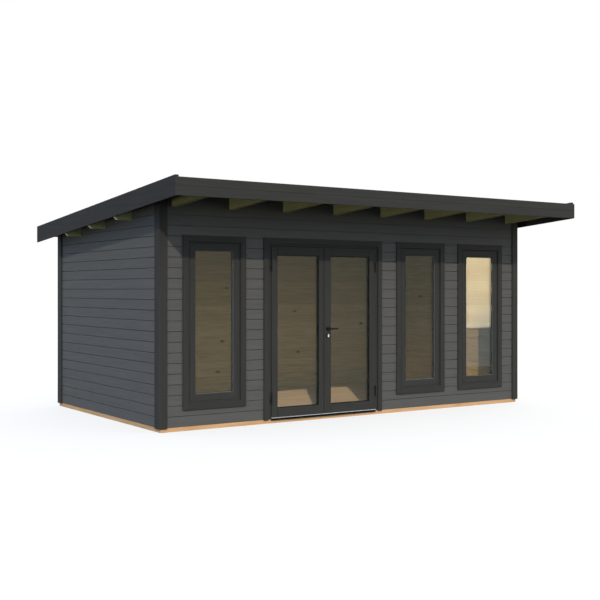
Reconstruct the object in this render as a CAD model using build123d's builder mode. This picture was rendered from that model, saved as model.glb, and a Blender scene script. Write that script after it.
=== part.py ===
from build123d import *
from math import cos, radians, tan
import os

# Garden house with a pent roof, glazed double door and three tall windows.
# Frame: x runs to the right along the front, y runs from the front to the back, z runs up.
# Origin: on the ground, under the middle of the roof.

# Overall sizes, in millimetres
wall_depth = 3000
front_overhang = 820
back_overhang = 210
side_overhang = 230
roof_pitch = 4.32
wall_thickness = 44
base_height = 45
base_timber_width = 70
rafter_seat_height = 2406

# Floor
joist_width = 45
joist_spacing = 500
floor_thickness = 18
wall_clearance = 2

# Roof
rafter_width = 70
rafter_depth = 145
rafter_count = 8
rafter_margin = 165
roof_board_thickness = 18
covering_thickness = 3
fascia_thickness = 20
fascia_drop = 20
edge_batten_width = 23
side_fascia_rise = 22
back_fascia_height = 110
lookout_width = 45
lookout_depth = 195
lookout_count = 3
lookout_splay = 38

# Corner trims
trim_thickness = 20
corner_trim_front_width = 95
corner_trim_side_width = 125
trim_foot_height = 40

# Openings in the front wall, measured between the outer edges of their trims
first_margin = 262
last_margin = 273
opening_gap = 234
window_width = 788
window_foot_height = 224
door_width = 1699
trim_top_height = 2112
trim_width = 70
door_trim_width = 60
trim_cover = 40

# Windows
window_frame_sight = 6
window_frame_depth = 60
window_stop_width = 12
window_stop_thickness = 9
sash_gap = 2
sash_width = 78
sash_rail_width = 86
sash_depth = 56
sash_stand = 5

# Glazing, shared by the windows and the door
sight_chamfer = 4
reveal_depth = 16
glass_thickness = 24
glass_groove = 12
glass_edge_clearance = 2

# Door
jamb_sight = 40.5
head_sight = 22
door_frame_depth = 68
door_stop_width = 17
door_stop_thickness = 15
leaf_gap = 5
leaf_meeting_gap = 8
lock_stile_extra = 14
leaf_bevel = 4
leaf_stand = 8
leaf_thickness = 56
leaf_floor_gap = 6
stile_width = 83
top_rail_width = 99
bottom_rail_width = 100
sill_height = 13
threshold_height = 6
threshold_depth = 40
threshold_setback = 1

# Hinges
hinge_axis_stand = 13
knuckle_radius = 7
knuckle_height = 60
knuckle_gap = 0.3
pin_radius = 3.4
pin_clearance = 0.1
pin_height = 45
hinge_plate_thickness = 3
hinge_plate_width = 16
lower_hinge_rise = 220
upper_hinge_drop = 215

# Lock and lever handle
handle_backset = 51
lever_height = 1061
cylinder_drop = 83
rosette_radius = 27
rosette_thickness = 8
neck_radius = 9
neck_clearance = 0.08
lever_reach = 44
lever_length = 130
lever_width = 20
lever_thickness = 11
cylinder_width = 20
cylinder_height = 37
cylinder_stand = 6

# Heights and places that follow from these sizes
slope = tan(radians(roof_pitch))
upright = 1 / cos(radians(roof_pitch))
total_depth = front_overhang + wall_depth + back_overhang
front_tip = -total_depth / 2
back_tip = total_depth / 2
front_y = front_tip + front_overhang
back_y = front_y + wall_depth
wall_width = first_margin + 3 * (window_width + opening_gap) + door_width + last_margin
half_width = wall_width / 2
half_roof = half_width + side_overhang
inner_half_width = half_width - wall_thickness

rafter_lift = rafter_depth * upright
board_lift = roof_board_thickness * upright
covering_lift = covering_thickness * upright
roof_top_lift = rafter_lift + board_lift + covering_lift
rafter_front = front_tip + fascia_thickness
rafter_back = back_tip - fascia_thickness
deck_half_width = half_roof - fascia_thickness - edge_batten_width

floor_top = base_height + floor_thickness
opening_top = trim_top_height - trim_cover
window_lefts = [-half_width + first_margin]
door_left = window_lefts[0] + window_width + opening_gap
door_right = door_left + door_width
window_lefts.append(door_right + opening_gap)
window_lefts.append(window_lefts[1] + window_width + opening_gap)


def height_at(y):
    """Height of the rafters' undersides at depth y."""
    return rafter_seat_height - (y - front_y) * slope


def sloped_profile(y_start, y_end, low, high):
    """Closed outline between two lines parallel to the roof, cut plumb at both ends."""
    Polyline(
        (y_start, height_at(y_start) + low),
        (y_end, height_at(y_end) + low),
        (y_end, height_at(y_end) + high),
        (y_start, height_at(y_start) + high),
        close=True,
    )


def sloped_slab(x_start, x_end, y_start, y_end, low, high):
    """Slab that follows the roof's slope between two x places."""
    with BuildSketch(Plane.YZ.offset(x_start)) as profile:
        with BuildLine():
            sloped_profile(y_start, y_end, low, high)
        make_face()
    extrude(profile.sketch, amount=x_end - x_start)


def plumb_slab(x_start, x_end, y_start, y_end, bottom, lift):
    """Upright slab with a level foot, whose top follows the roof's slope."""
    with BuildSketch(Plane.YZ.offset(x_start)) as profile:
        with BuildLine():
            Polyline(
                (y_start, bottom),
                (y_end, bottom),
                (y_end, height_at(y_end) + lift),
                (y_start, height_at(y_start) + lift),
                close=True,
            )
        make_face()
    extrude(profile.sketch, amount=x_end - x_start)


def block(x_start, x_end, y_start, y_end, z_start, z_end, mode=Mode.ADD):
    """Square-cut board between two corners."""
    with Locations(((x_start + x_end) / 2, (y_start + y_end) / 2, (z_start + z_end) / 2)):
        Box(x_end - x_start, y_end - y_start, z_end - z_start, mode=mode)


def rebated_points(width, depth, lip, step):
    """Section of a frame member: a block with a stop along the back of its inner edge."""
    return [
        (0, 0),
        (width, 0),
        (width, depth - step),
        (width + lip, depth - step),
        (width + lip, depth),
        (0, depth),
    ]


def plain_points(width, depth):
    """Section of a square-edged member."""
    return [(0, 0), (width, 0), (width, depth), (0, depth)]


def grooved_points(width, depth, bevel=0):
    """Section of a glazed member: chamfered sight edge and a groove that holds the glass."""
    groove_floor = width - glass_groove
    groove_end = reveal_depth + glass_thickness
    return [
        (0, 0),
        (width - sight_chamfer, 0),
        (width, sight_chamfer),
        (width, reveal_depth),
        (groove_floor, reveal_depth),
        (groove_floor, groove_end),
        (width, groove_end),
        (width, depth),
        (bevel, depth),
    ]


def upright_member(points, x_edge, inward, y_face, z_start, z_end):
    """Member with this section, standing with its outer edge at x_edge."""
    with BuildSketch(Plane.XY.offset(z_start)) as section:
        with BuildLine():
            Polyline([(x_edge + inward * across, y_face + deep) for across, deep in points], close=True)
        make_face()
    extrude(section.sketch, amount=z_end - z_start)


def cross_member(points, z_edge, inward, y_face, x_start, x_end):
    """Member with this section, lying with its outer edge at z_edge."""
    with BuildSketch(Plane.YZ.offset(x_start)) as section:
        with BuildLine():
            Polyline([(y_face + deep, z_edge + inward * across) for across, deep in points], close=True)
        make_face()
    extrude(section.sketch, amount=x_end - x_start)


def stopped_rail(x_start, x_end, z_edge, inward, span, depth, lip, step):
    """Rebated rail between two rebated uprights: its stop runs between theirs."""
    lips = x_start + lip, x_end - lip
    cross_member(rebated_points(span, depth, lip, step), z_edge, inward, front_y, *lips)
    square = plain_points(span, depth - step)
    cross_member(square, z_edge, inward, front_y, x_start, lips[0])
    cross_member(square, z_edge, inward, front_y, lips[1], x_end)


def finish(piece, name):
    """Label a sub-part and write its STEP file."""
    piece.part.label = name
    export_step(piece.part, "parts/" + name + ".step")


os.makedirs("parts", exist_ok=True)

# Base timbers: front and back run through, the short ones stand between them
with BuildPart() as base_timbers_long:
    block(-half_width, half_width, front_y, front_y + base_timber_width, 0, base_height)
    block(-half_width, half_width, back_y - base_timber_width, back_y, 0, base_height)
finish(base_timbers_long, "base_timbers_long")

joist_front = front_y + base_timber_width
joist_back = back_y - base_timber_width
with BuildPart() as base_timbers_short:
    block(-half_width, -half_width + base_timber_width, joist_front, joist_back, 0, base_height)
    block(half_width - base_timber_width, half_width, joist_front, joist_back, 0, base_height)
finish(base_timbers_short, "base_timbers_short")

# Floor joists between the long base timbers, and the floor on top
joist_run = wall_width - 2 * base_timber_width
joist_total = int(joist_run / joist_spacing)
joist_step = joist_run / (joist_total + 1)
with BuildPart() as floor_joists:
    with BuildSketch():
        with Locations((0, (joist_front + joist_back) / 2)):
            with GridLocations(joist_step, 1, joist_total, 1):
                Rectangle(joist_width, joist_back - joist_front)
    extrude(amount=base_height)
finish(floor_joists, "floor_joists")

floor_half_width = inner_half_width - wall_clearance
floor_front = front_y + wall_thickness + wall_clearance
floor_back = back_y - wall_thickness - wall_clearance
with BuildPart() as floor_boards:
    block(-floor_half_width, floor_half_width, floor_front, floor_back, base_height, floor_top)
finish(floor_boards, "floor_boards")

# Front wall: piers between the openings, panels under the windows, head over everything
front_inner_y = front_y + wall_thickness
opening_edges = [-half_width]
for left in [window_lefts[0], door_left, window_lefts[1], window_lefts[2]]:
    width = door_width if left == door_left else window_width
    opening_edges += [left + trim_cover, left + width - trim_cover]
opening_edges += [half_width]
with BuildPart() as front_wall_piers:
    for pier_left, pier_right in zip(opening_edges[0::2], opening_edges[1::2]):
        block(pier_left, pier_right, front_y, front_inner_y, base_height, opening_top)
finish(front_wall_piers, "front_wall_piers")

window_opening_foot = window_foot_height + trim_cover
with BuildPart() as front_wall_under_windows:
    for left in window_lefts:
        panel = left + trim_cover, left + window_width - trim_cover
        block(*panel, front_y, front_inner_y, base_height, window_opening_foot)
finish(front_wall_under_windows, "front_wall_under_windows")

with BuildPart() as front_wall_head:
    plumb_slab(-half_width, half_width, front_y, front_inner_y, opening_top, 0)
finish(front_wall_head, "front_wall_head")

# Back wall up to the rafters, side walls up to the roof boards
back_inner_y = back_y - wall_thickness
with BuildPart() as back_wall:
    plumb_slab(-half_width, half_width, back_inner_y, back_y, base_height, 0)
finish(back_wall, "back_wall")

with BuildPart() as side_walls:
    for wall_left in (-half_width, inner_half_width):
        wall_edges = wall_left, wall_left + wall_thickness
        plumb_slab(*wall_edges, front_inner_y, back_inner_y, base_height, rafter_lift)
finish(side_walls, "side_walls")

# Corner trims: two boards that meet at each corner, up to the roof boards
with BuildPart() as corner_trims:
    for side in (-1, 1):
        outer = side * (half_width + trim_thickness)
        face_edges = sorted((outer, outer - side * corner_trim_front_width))
        side_edges = sorted((outer, side * half_width))
        front_face = front_y - trim_thickness
        back_face = back_y + trim_thickness
        plumb_slab(*face_edges, front_face, front_y, trim_foot_height, rafter_lift)
        plumb_slab(*side_edges, front_y, front_face + corner_trim_side_width, trim_foot_height, rafter_lift)
        plumb_slab(*face_edges, back_y, back_face, trim_foot_height, rafter_lift)
        plumb_slab(*side_edges, back_face - corner_trim_side_width, back_y, trim_foot_height, rafter_lift)
finish(corner_trims, "corner_trims")

# Window trims on the wall round each opening
trim_face_y = front_y - trim_thickness
with BuildPart() as window_trim_uprights:
    for left in window_lefts:
        for board_left in (left, left + window_width - trim_width):
            board = board_left, board_left + trim_width
            block(*board, trim_face_y, front_y, window_foot_height, trim_top_height)
finish(window_trim_uprights, "window_trim_uprights")

with BuildPart() as window_trim_rails:
    for left in window_lefts:
        for board_low in (window_foot_height, trim_top_height - trim_width):
            board = left + trim_width, left + window_width - trim_width
            block(*board, trim_face_y, front_y, board_low, board_low + trim_width)
finish(window_trim_rails, "window_trim_rails")

# Window frames: rebated uprights the height of the opening, rebated rails between them
window_span = trim_width - trim_cover + window_frame_sight
window_stop = window_stop_width, window_stop_thickness
window_post = rebated_points(window_span, window_frame_depth, *window_stop)
with BuildPart() as window_frame_uprights:
    for left in window_lefts:
        for x_edge, inward in ((left + trim_cover, 1), (left + window_width - trim_cover, -1)):
            upright_member(window_post, x_edge, inward, front_y, window_opening_foot, opening_top)
finish(window_frame_uprights, "window_frame_uprights")

with BuildPart() as window_frame_rails:
    for left in window_lefts:
        rail = left + trim_cover + window_span, left + window_width - trim_cover - window_span
        for z_edge, inward in ((window_opening_foot, 1), (opening_top, -1)):
            stopped_rail(*rail, z_edge, inward, window_span, window_frame_depth, *window_stop)
finish(window_frame_rails, "window_frame_rails")

# Window sashes: grooved stiles and rails against the frames' stops
sash_inset = trim_width + window_frame_sight + sash_gap
sash_face_y = front_y - sash_stand
sash_points = grooved_points(sash_width, sash_depth)
sash_rail_points = grooved_points(sash_rail_width, sash_depth)
sash_bottom = window_foot_height + sash_inset
sash_top = trim_top_height - sash_inset
with BuildPart() as window_sash_stiles:
    for left in window_lefts:
        for x_edge, inward in ((left + sash_inset, 1), (left + window_width - sash_inset, -1)):
            upright_member(sash_points, x_edge, inward, sash_face_y, sash_bottom, sash_top)
finish(window_sash_stiles, "window_sash_stiles")

with BuildPart() as window_sash_rails:
    for left in window_lefts:
        rail = left + sash_inset + sash_width, left + window_width - sash_inset - sash_width
        for z_edge, inward in ((sash_bottom, 1), (sash_top, -1)):
            cross_member(sash_rail_points, z_edge, inward, sash_face_y, *rail)
finish(window_sash_rails, "window_sash_rails")

edge_cover = glass_groove - glass_edge_clearance
pane_inset = sash_inset + sash_width - edge_cover
pane_end_inset = sash_inset + sash_rail_width - edge_cover
pane_y = sash_face_y + reveal_depth
with BuildPart() as window_glass:
    for left in window_lefts:
        pane = left + pane_inset, left + window_width - pane_inset
        pane_heights = window_foot_height + pane_end_inset, trim_top_height - pane_end_inset
        block(*pane, pane_y, pane_y + glass_thickness, *pane_heights)
finish(window_glass, "window_glass")

# Door trim on three sides, its foot level with the corner trims
with BuildPart() as door_trim_posts:
    for board_left in (door_left, door_right - door_trim_width):
        board = board_left, board_left + door_trim_width
        block(*board, trim_face_y, front_y, trim_foot_height, trim_top_height)
finish(door_trim_posts, "door_trim_posts")

with BuildPart() as door_trim_head:
    board = door_left + door_trim_width, door_right - door_trim_width
    block(*board, trim_face_y, front_y, trim_top_height - trim_width, trim_top_height)
finish(door_trim_head, "door_trim_head")

# Door frame: rebated posts and head, with the stop behind the leaves
jamb_span = door_trim_width - trim_cover + jamb_sight
head_span = trim_width - trim_cover + head_sight
door_stop = door_stop_width, door_stop_thickness
jamb_points = rebated_points(jamb_span, door_frame_depth, *door_stop)
frame_left = door_left + trim_cover
frame_right = door_right - trim_cover
with BuildPart() as door_frame_posts:
    for x_edge, inward in ((frame_left, 1), (frame_right, -1)):
        upright_member(jamb_points, x_edge, inward, front_y, base_height, opening_top)
        foot = sorted((x_edge, x_edge + inward * (jamb_span + door_stop_width)))
        back = front_inner_y, front_y + door_frame_depth
        block(*foot, *back, base_height, floor_top, mode=Mode.SUBTRACT)
finish(door_frame_posts, "door_frame_posts")

inner_jambs = frame_left + jamb_span, frame_right - jamb_span
with BuildPart() as door_frame_head:
    stopped_rail(*inner_jambs, opening_top, -1, head_span, door_frame_depth, *door_stop)
finish(door_frame_head, "door_frame_head")

# Sill on the base timber between the posts, and the threshold strip on it
sill_top = base_height + sill_height
threshold_top = sill_top + threshold_height
with BuildPart() as door_sill:
    block(*inner_jambs, trim_face_y, floor_front, base_height, sill_top)
finish(door_sill, "door_sill")

threshold_y = trim_face_y + threshold_setback
with BuildPart() as door_threshold:
    block(*inner_jambs, threshold_y, threshold_y + threshold_depth, sill_top, threshold_top)
    crowned = door_threshold.edges().filter_by(Axis.X).group_by(Axis.Z)[-1]
    chamfer(crowned, threshold_height / 3)
finish(door_threshold, "door_threshold")

# Door leaves: grooved stiles and rails round one tall pane each
leaf_face_y = front_y - leaf_stand
leaf_back_y = leaf_face_y + leaf_thickness
leaf_left = inner_jambs[0] + leaf_gap
leaf_right = inner_jambs[1] - leaf_gap
half_run = (leaf_right - leaf_left - leaf_meeting_gap) / 2
leaf_widths = {"left": half_run - lock_stile_extra, "right": half_run + lock_stile_extra}
meeting_stile_widths = {"left": stile_width - lock_stile_extra, "right": stile_width + lock_stile_extra}
leaf_bottom = threshold_top + leaf_floor_gap
leaf_top = opening_top - head_span - leaf_gap
outer_points = grooved_points(stile_width, leaf_thickness)
top_points = grooved_points(top_rail_width, leaf_thickness)
bottom_points = grooved_points(bottom_rail_width, leaf_thickness)
leaf_pane_y = leaf_face_y + reveal_depth
spindle_x = leaf_right - leaf_widths["right"] + handle_backset

for name, hinge_edge, inward in (("left", leaf_left, 1), ("right", leaf_right, -1)):
    meeting_edge = hinge_edge + inward * leaf_widths[name]
    meeting_width = meeting_stile_widths[name]
    meeting_points = grooved_points(meeting_width, leaf_thickness, leaf_bevel)
    with BuildPart() as leaf_stiles:
        upright_member(outer_points, hinge_edge, inward, leaf_face_y, leaf_bottom, leaf_top)
        upright_member(meeting_points, meeting_edge, -inward, leaf_face_y, leaf_bottom, leaf_top)
    finish(leaf_stiles, name + "_leaf_stiles")

    rail = sorted((hinge_edge + inward * stile_width, meeting_edge - inward * meeting_width))
    with BuildPart() as leaf_rails:
        cross_member(top_points, leaf_top, -1, leaf_face_y, *rail)
        cross_member(bottom_points, leaf_bottom, 1, leaf_face_y, *rail)
    finish(leaf_rails, name + "_leaf_rails")

    pane = rail[0] - edge_cover, rail[1] + edge_cover
    pane_heights = leaf_bottom + bottom_rail_width - edge_cover, leaf_top - top_rail_width + edge_cover
    with BuildPart() as leaf_glass:
        block(*pane, leaf_pane_y, leaf_pane_y + glass_thickness, *pane_heights)
    finish(leaf_glass, name + "_leaf_glass")

# Lift-off hinges: the lower knuckle and its pin stand on the frame, the upper one hangs on the leaf
hinge_y = leaf_face_y - hinge_axis_stand
hinge_lefts = leaf_left - leaf_gap / 2
hinge_rights = leaf_right + leaf_gap / 2
hinge_heights = (leaf_bottom + lower_hinge_rise, leaf_top - upper_hinge_drop)


def hinge_plate(x_axis, inward, y_seat, z_start):
    """Flat plate screwed to a face, with the web that reaches forward to the knuckle."""
    web_near = x_axis + inward * (leaf_gap / 2)
    web = sorted((web_near, web_near + inward * hinge_plate_thickness))
    plate = sorted((web_near, web_near + inward * hinge_plate_width))
    z_range = z_start, z_start + knuckle_height
    block(*web, hinge_y, y_seat, *z_range)
    block(*plate, y_seat - hinge_plate_thickness, y_seat, *z_range)


with BuildPart() as frame_hinges:
    for x_axis, inward in ((hinge_lefts, -1), (hinge_rights, 1)):
        for height in hinge_heights:
            low = height - knuckle_height
            with BuildSketch(Plane.XY.offset(low)):
                with Locations((x_axis, hinge_y)):
                    Circle(knuckle_radius)
            extrude(amount=knuckle_height)
            hinge_plate(x_axis, inward, front_y, low)
            with BuildSketch(Plane.XY.offset(height)):
                with Locations((x_axis, hinge_y)):
                    Circle(pin_radius)
            extrude(amount=pin_height)
finish(frame_hinges, "frame_hinges")

for name, x_axis, inward in (("left", hinge_lefts, 1), ("right", hinge_rights, -1)):
    with BuildPart() as leaf_hinges:
        for height in hinge_heights:
            low = height + knuckle_gap
            with BuildSketch(Plane.XY.offset(low)):
                with Locations((x_axis, hinge_y)):
                    Circle(knuckle_radius)
            extrude(amount=knuckle_height)
            hinge_plate(x_axis, inward, leaf_face_y, low)
            with BuildSketch(Plane.XY.offset(low)):
                with Locations((x_axis, hinge_y)):
                    Circle(pin_radius + pin_clearance)
            extrude(amount=pin_height + knuckle_gap, mode=Mode.SUBTRACT)
    finish(leaf_hinges, name + "_leaf_hinges")

# Rosettes on both faces of the right leaf's meeting stile, bored for the lever's neck and the lock
lock_height = lever_height - cylinder_drop
leaf_faces = ((leaf_face_y, -1), (leaf_back_y, 1))
with BuildPart() as handle_rosettes:
    for face_y, outward in leaf_faces:
        with BuildSketch(Plane.XZ.offset(-face_y)):
            with Locations((spindle_x, lever_height), (spindle_x, lock_height)):
                Circle(rosette_radius)
            with Locations((spindle_x, lever_height)):
                Circle(neck_radius + neck_clearance, mode=Mode.SUBTRACT)
            with Locations((spindle_x, lock_height)):
                SlotOverall(cylinder_height, cylinder_width, rotation=90, mode=Mode.SUBTRACT)
        extrude(amount=-outward * rosette_thickness)
finish(handle_rosettes, "handle_rosettes")

with BuildPart() as lock_cylinder:
    for face_y, outward in leaf_faces:
        with BuildSketch(Plane.XZ.offset(-face_y)):
            with Locations((spindle_x, lock_height)):
                SlotOverall(cylinder_height, cylinder_width, rotation=90)
        extrude(amount=-outward * (rosette_thickness + cylinder_stand))
finish(lock_cylinder, "lock_cylinder")

# Lever handle: one lever on each face, pointing away from the meeting edge
with BuildPart() as lever_handle:
    for face_y, outward in leaf_faces:
        neck_root = face_y + outward * knuckle_gap
        lever_y = face_y + outward * (rosette_thickness + lever_reach)
        with BuildSketch(Plane.XZ.offset(-neck_root)):
            with Locations((spindle_x, lever_height)):
                Circle(neck_radius)
        extrude(amount=-outward * abs(lever_y - neck_root))
        with BuildSketch(Plane.XZ.offset(-lever_y)):
            with Locations((spindle_x + (lever_length - lever_width) / 2, lever_height)):
                SlotOverall(lever_length, lever_width)
        extrude(amount=outward * lever_thickness)
finish(lever_handle, "lever_handle")

# Rafters from fascia to fascia
rafter_pitch = (wall_width - 2 * rafter_margin) / (rafter_count - 1)
rafter_places = [(index - (rafter_count - 1) / 2) * rafter_pitch for index in range(rafter_count)]
with BuildPart() as rafters:
    for place in rafter_places:
        rafter_edges = place - rafter_width / 2, place + rafter_width / 2
        sloped_slab(*rafter_edges, rafter_front, rafter_back, 0, rafter_lift)
finish(rafters, "rafters")

# Blocks that close the front and back walls between the rafters
block_edges = [-half_width]
for place in rafter_places:
    block_edges += [place - rafter_width / 2, place + rafter_width / 2]
block_edges += [half_width]
with BuildPart() as rafter_blocks:
    for block_left, block_right in zip(block_edges[0::2], block_edges[1::2]):
        sloped_slab(block_left, block_right, front_y, front_inner_y, 0, rafter_lift)
        sloped_slab(block_left, block_right, back_inner_y, back_y, 0, rafter_lift)
finish(rafter_blocks, "rafter_blocks")

# Roof boards and the covering on them
with BuildPart() as roof_boards:
    deck = -deck_half_width, deck_half_width, rafter_front, rafter_back
    sloped_slab(*deck, rafter_lift, rafter_lift + board_lift)
finish(roof_boards, "roof_boards")

with BuildPart() as roof_covering:
    sloped_slab(*deck, rafter_lift + board_lift, roof_top_lift)
finish(roof_covering, "roof_covering")

# Fascias: the front one covers the ends of the side ones, which stand higher than it.
# The back one is a narrow board between them, so that the rafters' ends show below it.
fascia_low = -fascia_drop
side_high = roof_top_lift + side_fascia_rise
back_roof_top = height_at(back_tip) + roof_top_lift
with BuildPart() as front_fascia:
    block(-half_roof, half_roof, front_tip, rafter_front,
          height_at(front_tip) + fascia_low, height_at(front_tip) + roof_top_lift)
finish(front_fascia, "front_fascia")

with BuildPart() as back_fascia:
    inner_back = -half_roof + fascia_thickness, half_roof - fascia_thickness
    block(*inner_back, rafter_back, back_tip, back_roof_top - back_fascia_height, back_roof_top)
finish(back_fascia, "back_fascia")

with BuildPart() as side_fascias:
    for board_left in (-half_roof, half_roof - fascia_thickness):
        board = board_left, board_left + fascia_thickness
        sloped_slab(*board, rafter_front, back_tip, fascia_low, side_high)
finish(side_fascias, "side_fascias")

with BuildPart() as roof_edge_battens:
    for side in (-1, 1):
        batten = sorted((side * deck_half_width, side * (half_roof - fascia_thickness)))
        sloped_slab(*batten, rafter_front, rafter_back, rafter_lift, side_high)
finish(roof_edge_battens, "roof_edge_battens")

# Lookouts: short timbers on the side walls that carry the roof's side overhang
lookout_tip = half_roof - fascia_thickness
with BuildPart() as lookouts:
    for index in range(lookout_count):
        y_middle = front_y + wall_depth * (index + 1) / (lookout_count + 1)
        z_top = height_at(y_middle + lookout_width / 2) + rafter_lift
        z_low = z_top - lookout_depth
        for side in (-1, 1):
            y_front = y_middle - lookout_width / 2
            with BuildSketch(Plane.XZ.offset(-y_front)):
                with BuildLine():
                    Polyline(
                        (side * half_width, z_low),
                        (side * (lookout_tip - lookout_splay), z_low),
                        (side * lookout_tip, z_low + lookout_splay),
                        (side * lookout_tip, z_top),
                        (side * half_width, z_top),
                        close=True,
                    )
                make_face()
            extrude(amount=-lookout_width)
finish(lookouts, "lookouts")
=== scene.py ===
import math
import random

import bmesh
import bpy
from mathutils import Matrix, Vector


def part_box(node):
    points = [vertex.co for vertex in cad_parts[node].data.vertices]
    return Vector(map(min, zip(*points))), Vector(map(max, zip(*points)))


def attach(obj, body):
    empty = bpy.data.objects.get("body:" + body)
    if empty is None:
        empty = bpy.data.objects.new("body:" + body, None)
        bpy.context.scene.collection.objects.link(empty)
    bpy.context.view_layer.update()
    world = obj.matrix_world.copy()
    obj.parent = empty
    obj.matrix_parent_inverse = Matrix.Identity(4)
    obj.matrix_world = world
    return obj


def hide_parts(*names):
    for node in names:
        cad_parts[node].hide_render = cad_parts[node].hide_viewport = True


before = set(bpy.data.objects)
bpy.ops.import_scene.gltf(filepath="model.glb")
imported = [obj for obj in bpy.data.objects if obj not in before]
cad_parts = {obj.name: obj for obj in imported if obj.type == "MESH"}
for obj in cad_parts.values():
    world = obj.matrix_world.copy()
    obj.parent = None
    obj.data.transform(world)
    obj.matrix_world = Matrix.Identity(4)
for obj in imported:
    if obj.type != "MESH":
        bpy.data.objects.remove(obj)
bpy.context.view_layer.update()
random.seed(7)

# Sizes of the building in metres, as in the construction model. X runs along the front, Y to the back, Z up
HALF_WIDTH = 2.650           # middle to the outer face of a side wall
FRONT = -1.195               # outer face of the front wall
BACK = 1.805                 # outer face of the back wall
WALL = 0.044                 # thickness of the walls
BASE_TOP = 0.045             # top of the base timbers
FLOOR_TOP = 0.063
FLOOR_MARGIN = 0.046         # outer face of a wall to the floor's edge

# Roof
SEAT = 2.406                 # underside of the rafters at the front wall's outer face
HALF_ROOF = 2.880            # middle to the outer face of a side fascia
DECK_HALF = 2.837            # middle to the edge of the roof boards
FRONT_TIP = -2.015
BACK_TIP = 2.015
FASCIA = 0.020               # thickness of the fascia boards
FASCIA_JOINT = 0.52          # height of the joint between the front fascia's two boards, as a share
PITCH = math.radians(4.32)
SLOPE = math.tan(PITCH)
# Rafters, roof boards and covering: their thickness square to the slope, as it measures straight up
RAFTER_LIFT, BOARD_LIFT, COVER_LIFT = (thickness / math.cos(PITCH) for thickness in (0.145, 0.018, 0.003))

# Boards and sheets: the width that each one covers
BOARD = 0.114
ROOF_BOARD = 0.096
FLOOR_BOARD = 0.1164
SHEET = 1.0

# Wall boards are tongued and grooved: both edges have a chamfer and then a narrow slit
CHAMFER_TOP = 0.0048
CHAMFER_DEPTH = 0.0025
SLIT_HALF = 0.0023
SLIT_DEPTH = 0.014
COURSES = 40                 # tones drawn for a wall, more than it has boards
UNCUT_FRONT = SEAT + 0.01    # heights to which boards are laid before the roof line cuts them
UNCUT_BACK = 2.3
UNCUT_SIDE = 2.7
NO_BOARD = 0.5               # stands for a board's random number where a piece has no boards

# Windows: left edges of their trims, width and heights over the trims, insets from the trims' outer edge
WINDOWS = [-2.388, 0.567, 1.589]
WINDOW_WIDTH = 0.788
WINDOW_LOW = 0.224
WINDOW_TOP = 2.112
TRIM_COVER = 0.040           # to the opening in the wall
WINDOW_TRIM = 0.070          # to the trim's inner edge
SASH_INSET = 0.078           # to the sash
SASH_STILE = 0.078           # widths of the sash's members
SASH_RAIL = 0.086
SASH_FACE = FRONT - 0.005
SASH_DEPTH = 0.056
OPENING_TOP = 2.072          # heights of the openings in the wall
SILL_LOW = 0.264

# Doorway: outer edges of its trims; each leaf's left and right edge and the widths of its stiles
DOOR = (-1.366, 0.333)
REVEAL = 0.1005              # trim's outer edge to the frame's inner face
LEAVES = {"left_leaf": (-1.2605, -0.5345), "right_leaf": (-0.5265, 0.2275)}
STILES = {"left_leaf": (0.083, 0.069), "right_leaf": (0.097, 0.083)}
BOTTOM_RAIL = 0.100
TOP_RAIL = 0.099
LEAF_LOW = 0.070
LEAF_TOP = 2.015
LEAF_FACE = FRONT - 0.008
LEAF_THICKNESS = 0.056
STOP_FACE = FRONT + 0.053    # the frame's stop, behind the leaves
STOP_TOP = 2.016             # its underside over the leaves
SEAL_INSET = 0.004           # frame's inner face to the weather seal
SEAL_TOP = 2.010             # upper end of the seal's uprights

# Ironmongery
SPINDLE = (-0.4755, 1.061)   # the lever's axis
LOCK_DROP = 0.083            # from there down to the middle of the lock cylinder
PLUG_RISE = 0.008            # and up again to its round plug
HANDLE_SIDES = ((LEAF_FACE, -1), (LEAF_FACE + LEAF_THICKNESS, 1))
HINGE_HEIGHTS = (0.290, 1.800)
HINGE_OUT = 0.0025           # leaf's edge to the hinge's axis
HINGE_Y = LEAF_FACE - 0.013
KNUCKLE = 0.060              # height of one knuckle
KNUCKLE_GAP = 0.0003
HINGE_PLATE = 0.0029
SCREW_HEIGHTS = (0.012, 0.048)
SCREW_OUT = 0.0125           # hinge's axis to the screws


def under_rafters(y):
    """Height of the rafters' undersides at depth y."""
    return SEAT - (y - FRONT) * SLOPE


# Colours and materials

# How many times longer the timbers' patterns are along the grain, and the knots' distance across it
FIGURE_STRETCH = 22
FIBRE_STRETCH = 60
KNOT_STRETCH = 2
KNOT_MM = 260
# Specular level: timber hardly shines, coats and metals a little more
TIMBER_SHINE = 0.01
COAT_SHINE = 0.15
CLOUD_STRETCH = 6            # a coat's cloudiness, against its specks


def linear(code):
    """An sRGB hex colour as linear red, green, blue and alpha."""
    parts = [int(code[i:i + 2], 16) / 255 for i in (1, 3, 5)]
    return [c / 12.92 if c <= 0.04045 else ((c + 0.055) / 1.055) ** 2.4 for c in parts] + [1.0]


def add(tree, kind, settings=None, **links):
    """Adds a node; settings go on it or its sockets, links feed its sockets by name or number.
    The colours of a Mix node are its sockets 6 and 7."""
    node = tree.nodes.new(kind)
    for key, value in (settings or {}).items():
        if isinstance(key, str) and hasattr(node, key):
            setattr(node, key, value)
        else:
            node.inputs[key].default_value = value
    for key, source in links.items():
        slot = int(key[1:]) if key[0] == "_" and key[1:].isdigit() else key.replace("_", " ")
        tree.links.new(source, node.inputs[slot])
    return node


def empty_tree(owner):
    """The node tree of a material or of the world, emptied."""
    owner.use_nodes = True
    owner.node_tree.nodes.clear()
    return owner.node_tree


def new_material(name, settings):
    """A material with its output and a Principled shader with these settings."""
    material = bpy.data.materials.new(name)
    tree = empty_tree(material)
    shader = add(tree, "ShaderNodeBsdfPrincipled", settings)
    add(tree, "ShaderNodeOutputMaterial", None, Surface=shader.outputs[0])
    return material, tree, shader


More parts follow.
